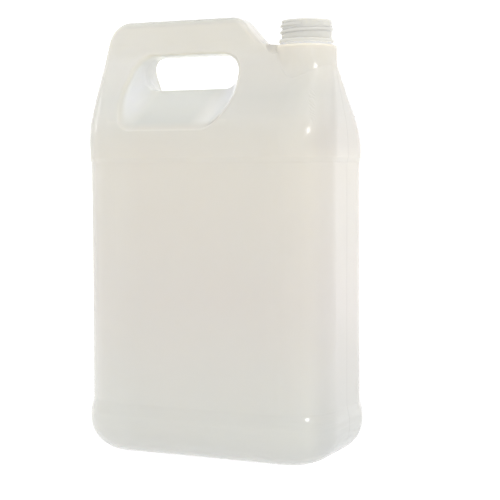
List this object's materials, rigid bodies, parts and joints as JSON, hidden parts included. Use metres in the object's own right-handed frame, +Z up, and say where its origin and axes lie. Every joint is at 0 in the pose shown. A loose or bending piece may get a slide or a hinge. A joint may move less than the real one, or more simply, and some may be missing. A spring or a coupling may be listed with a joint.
{
  "type": "f-style jug",
  "caption": "Hollow blow-moulded rectangular jug with an offset threaded neck, a leaning shoulder and a built-in handle over a hand hole with finger pockets.",
  "frame": {"origin": "centre of the base, on the plane the jug stands on", "axes": "+Z up, +X along the width from the handle end to the neck end, -Y towards the broad front face"},
  "size_m": [0.1858, 0.1094, 0.3012],
  "materials": {
    "hdpe": "satin, translucent natural polyethylene"
  },
  "bodies": {
    "root": {"jug": "hdpe"}
  },
  "joints": []
}
